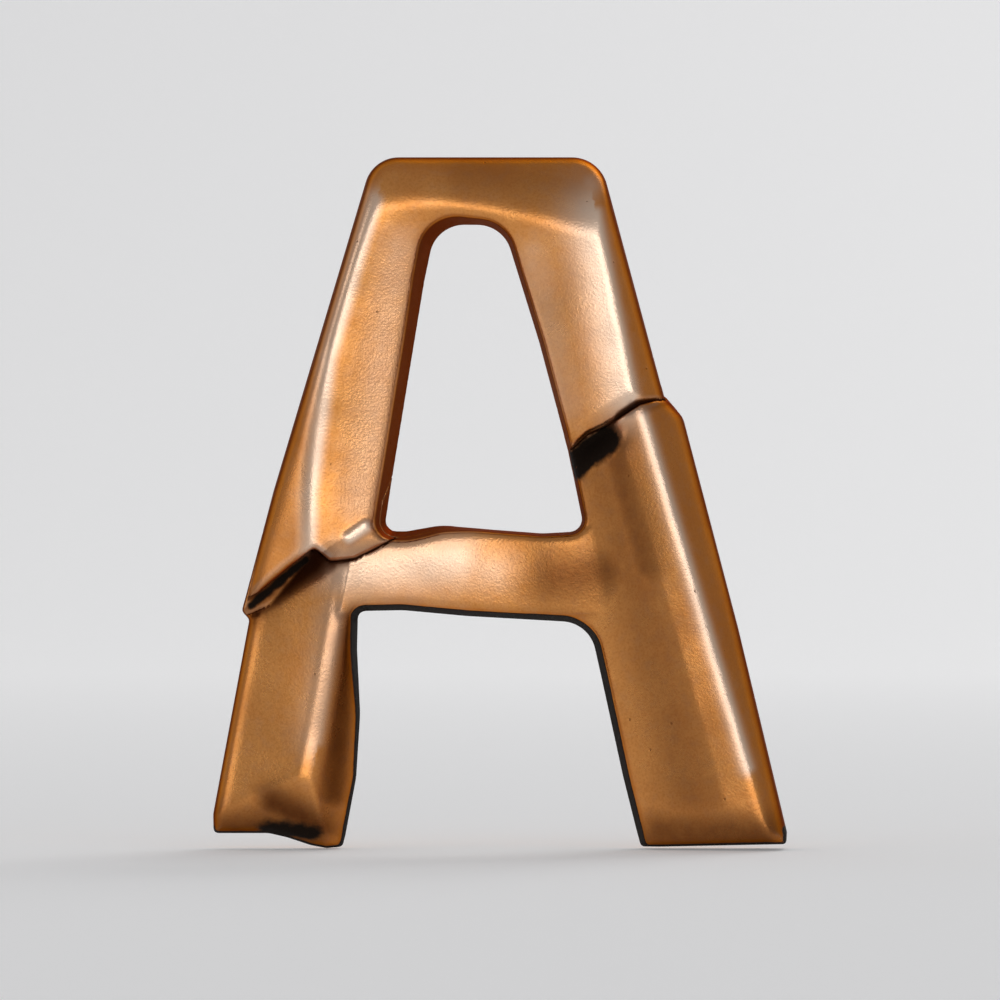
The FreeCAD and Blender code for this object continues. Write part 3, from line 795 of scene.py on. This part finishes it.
class Finish:
    """A material whose nodes are added one call at a time, feeding its Principled shader."""

    def __init__(self, name):
        self.material = bpy.data.materials.new(name)
        self.material.use_nodes = True
        self.tree = self.material.node_tree
        self.shader = self.tree.nodes["Principled BSDF"]
        place = self.add("TexCoord").outputs["Object"]
        self.place = self.add("VectorMath", {0: place, "Scale": 1 / MM}, operation="SCALE").outputs[0]

    def add(self, kind, inputs=(), **settings):
        made = self.tree.nodes.new(f"ShaderNode{kind}")
        for key, value in settings.items():
            setattr(made, key, value)
        for key, value in dict(inputs).items():
            self.feed(made.inputs[key], value)
        return made

    def feed(self, socket, value):
        if isinstance(value, bpy.types.NodeSocket):
            self.tree.links.new(value, socket)
        else:
            socket.default_value = value

    def attribute(self, name):
        return self.add("Attribute", attribute_name=name).outputs["Fac"]

    def noise(self, size, detail=3, roughness=0.5):
        """Noise between 0 and 1 whose lumps are about this many millimetres across."""
        settings = {"Vector": self.place, "Scale": 1 / size, "Detail": detail, "Roughness": roughness}
        return self.add("TexNoise", settings).outputs["Fac"]

    def spots(self, size):
        """Distance from the nearest of many scattered points, about this many millimetres apart."""
        return self.add("TexVoronoi", {"Vector": self.place, "Scale": 1 / size}).outputs["Distance"]

    def sum_of(self, a, b):
        return self.add("Math", {0: a, 1: b}, operation="ADD").outputs[0]

    def product_of(self, a, b):
        return self.add("Math", {0: a, 1: b}, operation="MULTIPLY").outputs[0]

    def ramp(self, value, low, high, start=0.0, end=1.0):
        """Start below low and end above high, with a smooth step between."""
        inputs = {"Value": value, "From Min": low, "From Max": high, "To Min": start, "To Max": end}
        return self.add("MapRange", inputs, interpolation_type="SMOOTHSTEP").outputs[0]

    def mixed(self, share, a, b):
        mix = self.add("Mix", data_type="RGBA", clamp_factor=True)
        for index, value in zip((0, 6, 7), (share, a, b)):
            self.feed(mix.inputs[index], value)
        return mix.outputs[2]

    def bump(self, height, depth, below=None):
        """Relief of this many millimetres, on top of any relief below it."""
        inputs = {"Height": height, "Distance": depth * MM, "Strength": 1.0}
        if below:
            inputs["Normal"] = below
        return self.add("Bump", inputs).outputs["Normal"]

    def shade(self, **inputs):
        for name, value in inputs.items():
            self.feed(self.shader.inputs[name.replace("_", " ")], value)
        return self.material


# Copper's colours. The dull one also paints shade on sloped faces, the brown one painted shade as well as
# patina, and the black one painted shadow as well as patina.
COPPER_BRIGHT = (0.98, 0.73, 0.55, 1)
COPPER = (0.88, 0.385, 0.11, 1)
COPPER_DULL_AND_SHADE = (0.6, 0.2, 0.045, 1)
PATINA_AND_SHADE_BROWN = (0.12, 0.033, 0.009, 1)
PATINA_AND_SHADOW_BLACK = (0.012, 0.008, 0.006, 1)


def antiqued_copper():
    """Cast copper with brown patina in its hollows and ridges worn bright, and painted light: highlights on
    facets that face the lamps, shade on its walls and on facets that face away, and black shadow and patina
    in its seams.
    """
    f = Finish("antiqued_copper")
    mottle = f.noise(3.5, 4, 0.6)
    blotch = f.noise(0.6, 3)
    grain = f.noise(0.13, 2, 0.6)
    crevice, edge, side = (f.attribute(name) for name in ("crevice", "edge", "side"))
    coarse, bright, brown, black = (
        f.attribute(name) for name in ("grainy", "rubbed_and_highlight", "shade_and_patina", "painted_shadow")
    )
    uneven_by = f.sum_of(blotch, -0.5)

    colour = f.mixed(f.ramp(mottle, 0.35, 0.7, 0, 0.4), COPPER, COPPER_DULL_AND_SHADE)
    # Painted shade: the more a face slopes away from the front, the duller it is.
    colour = f.mixed(f.ramp(side, 0.05, 0.3, 0, 0.6), colour, COPPER_DULL_AND_SHADE)
    colour = f.mixed(f.ramp(grain, 0.4, 0.7, 0, 0.4), colour, COPPER_DULL_AND_SHADE)
    colour = f.mixed(f.ramp(edge, 0.1, 0.5, 0, 0.2), colour, COPPER_BRIGHT)
    # Worn ridges and painted highlights, mixed towards bright copper.
    colour = f.mixed(f.sum_of(bright, f.product_of(uneven_by, 0.2)), colour, COPPER_BRIGHT)
    # Painted shade, with some brown patina, from its lines.
    colour = f.mixed(f.sum_of(brown, f.product_of(uneven_by, 0.2)), colour, PATINA_AND_SHADE_BROWN)
    # Painted shade: walls dark brown.
    colour = f.mixed(f.ramp(side, 0.5, 0.85, 0, 0.9), colour, PATINA_AND_SHADE_BROWN)
    sunk = f.sum_of(crevice, f.product_of(uneven_by, 0.25))
    colour = f.mixed(f.ramp(sunk, 0.2, 0.7, 0, 0.9), colour, PATINA_AND_SHADE_BROWN)
    # Painted black shadow from its lines, and black patina in the deepest crevices.
    black = f.sum_of(black, f.product_of(uneven_by, 0.4))
    darkest = f.sum_of(f.ramp(sunk, 0.95, 1.3), f.ramp(black, 0.35, 0.65))
    colour = f.mixed(darkest, colour, PATINA_AND_SHADOW_BLACK)

    rough = f.sum_of(f.ramp(mottle, 0.3, 0.7, 0.26, 0.32), f.ramp(sunk, 0.1, 0.6, 0, 0.3))
    rough = f.sum_of(rough, f.ramp(side, 0.4, 0.8, 0, 0.25))
    skin = f.bump(f.noise(0.9, 2), 0.01)
    skin = f.bump(f.product_of(grain, f.ramp(coarse, 0, 1, 0.35, 1)), 0.035, skin)
    pits = f.ramp(f.spots(1.9), 0.025, 0.055)
    skin = f.bump(pits, 0.02, skin)
    colour = f.mixed(f.ramp(pits, 0, 1, 0.5, 0), colour, PATINA_AND_SHADE_BROWN)
    rough = f.sum_of(rough, f.ramp(darkest, 0, 1, 0, 0.3))
    metallic = f.ramp(darkest, 0, 1, 1, 0)
    f.shade(Specular_Tint=(0.55, 0.3, 0.16, 1), Specular_IOR_Level=0.08)
    return f.shade(Base_Color=colour, Roughness=rough, Metallic=metallic, Normal=skin)


BRASS = (0.72, 0.46, 0.2, 1)
BRASS_PALE = (0.66, 0.46, 0.24, 1)
BRASS_DULL = (0.42, 0.24, 0.1, 1)


def turned_brass(name, tint, ring_size, worn_edges=True):
    """Brass with fine turning rings, dulled unevenly by handling."""
    f = Finish(name)
    mottle = f.noise(1.3, 4, 0.6)
    colour = f.mixed(f.ramp(mottle, 0.35, 0.7), tint, BRASS_DULL)
    if worn_edges:
        crevice, edge = f.attribute("crevice"), f.attribute("edge")
        colour = f.mixed(f.ramp(edge, 0.1, 0.5, 0, 0.6), colour, COPPER_BRIGHT)
        colour = f.mixed(f.ramp(crevice, 0.25, 0.7), colour, PATINA_AND_SHADE_BROWN)
    stretched = f.add("Mapping", {"Vector": f.place, "Scale": (0.6, 1 / ring_size, 0.6)}).outputs[0]
    rings = f.add("TexNoise", {"Vector": stretched, "Scale": 1.0, "Detail": 2.0}).outputs["Fac"]
    skin = f.bump(rings, 0.006)
    skin = f.bump(f.noise(0.25, 3), 0.006, skin)
    rough = f.ramp(mottle, 0.3, 0.7, 0.26, 0.42)
    return f.shade(Base_Color=colour, Roughness=rough, Metallic=1.0, Normal=skin)


def plain_stage():
    """A matt pale grey that glows faintly, so that shadows on it stay soft."""
    f = Finish("pale_stage")
    f.shade(Base_Color=(0.8, 0.8, 0.8, 1), Roughness=0.85)
    return f.shade(Emission_Strength=0.2, Emission_Color=(1, 1, 1, 1))


# ---------------------------------------------------------------- the scene


def stage():
    """A pale floor that curves up into a backdrop behind the letter."""
    near, bend, radius, top, half_width = -1.2, 0.5, 0.5, 1.6, 2.0
    angles = np.linspace(0, math.pi / 2, 25)
    arc = [(bend + radius * math.sin(a), radius * (1 - math.cos(a))) for a in angles]
    profile = [(near, 0.0), *arc, (bend + radius, top)]
    points = [(x, y, FLOOR + z) for y, z in profile for x in (-half_width, half_width)]
    faces = [(2 * i, 2 * i + 1, 2 * i + 3, 2 * i + 2) for i in range(len(profile) - 1)]
    floor = mesh_object("stage_floor", np.array(points), np.array(faces))
    floor.data.materials.append(plain_stage())


def soft_light(name, place, aim, size, power, colour=(1, 1, 1)):
    data = bpy.data.lights.new(name, "AREA")
    data.shape = "RECTANGLE"
    data.size, data.size_y = size
    data.energy = power
    data.color = colour
    light = bpy.data.objects.new(name, data)
    light.location = place
    light.rotation_euler = (Vector(aim) - Vector(place)).to_track_quat("-Z", "Y").to_euler()
    bpy.context.scene.collection.objects.link(light)


def studio():
    world = bpy.data.worlds.new("studio")
    bpy.context.scene.world = world
    world.use_nodes = True
    world.node_tree.nodes["Background"].inputs["Color"].default_value = (0.345, 0.345, 0.355, 1)
    middle = (0, 0, FLOOR + HEIGHT * MM / 2)
    soft_light("front_softbox", (0.23, -0.73, 0.03), middle, (0.75, 0.42), 1.65)
    soft_light("left_card", (-0.7, -0.3, 0.05), middle, (0.35, 0.5), 0.42)
    soft_light("back_softbox", (0.35, 0.75, 0.6), middle, (0.5, 0.5), 2.0)
    bpy.context.scene.view_settings.view_transform = "Standard"


# What the camera takes in, in metres: the width at its distance from the letter's back, and its height.
VIEW_WIDTH = 0.05514
VIEW_DISTANCE = 0.5
VIEW_HEIGHT = 0.0192


def camera():
    """A level view of the letter's front from far enough off to look flat."""
    data = bpy.data.cameras.new("camera")
    data.sensor_width = 36
    data.lens = data.sensor_width * VIEW_DISTANCE / VIEW_WIDTH
    data.clip_start = 0.01
    view = bpy.data.objects.new("camera", data)
    view.location = (0, BACK - VIEW_DISTANCE, FLOOR + VIEW_HEIGHT)
    view.rotation_euler = (math.pi / 2, 0, 0)
    bpy.context.scene.collection.objects.link(view)
    bpy.context.scene.camera = view


copper = antiqued_copper()
for piece in (
    casting("arch_cast", "arch", arch_solid),
    casting("lower_frame_cast", "lower_frame", frame_solid),
):
    piece.data.materials.append(copper)

screws().data.materials.append(turned_brass("screw_brass", BRASS, 0.05))
post_brass = turned_brass("post_brass", BRASS, 0.06, worn_edges=False)
washer_brass = turned_brass("washer_brass", BRASS_PALE, 0.3, worn_edges=False)
for corner in CORNERS:
    for piece, kind, body, finish in (
        (post(corner), "post", "letter", post_brass),
        (washer(corner), "washer", f"washer_{corner}", washer_brass),
    ):
        piece.data.materials.append(finish)
        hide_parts(f"{kind}_{corner}")
        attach(piece, body)

stage()
studio()
camera()
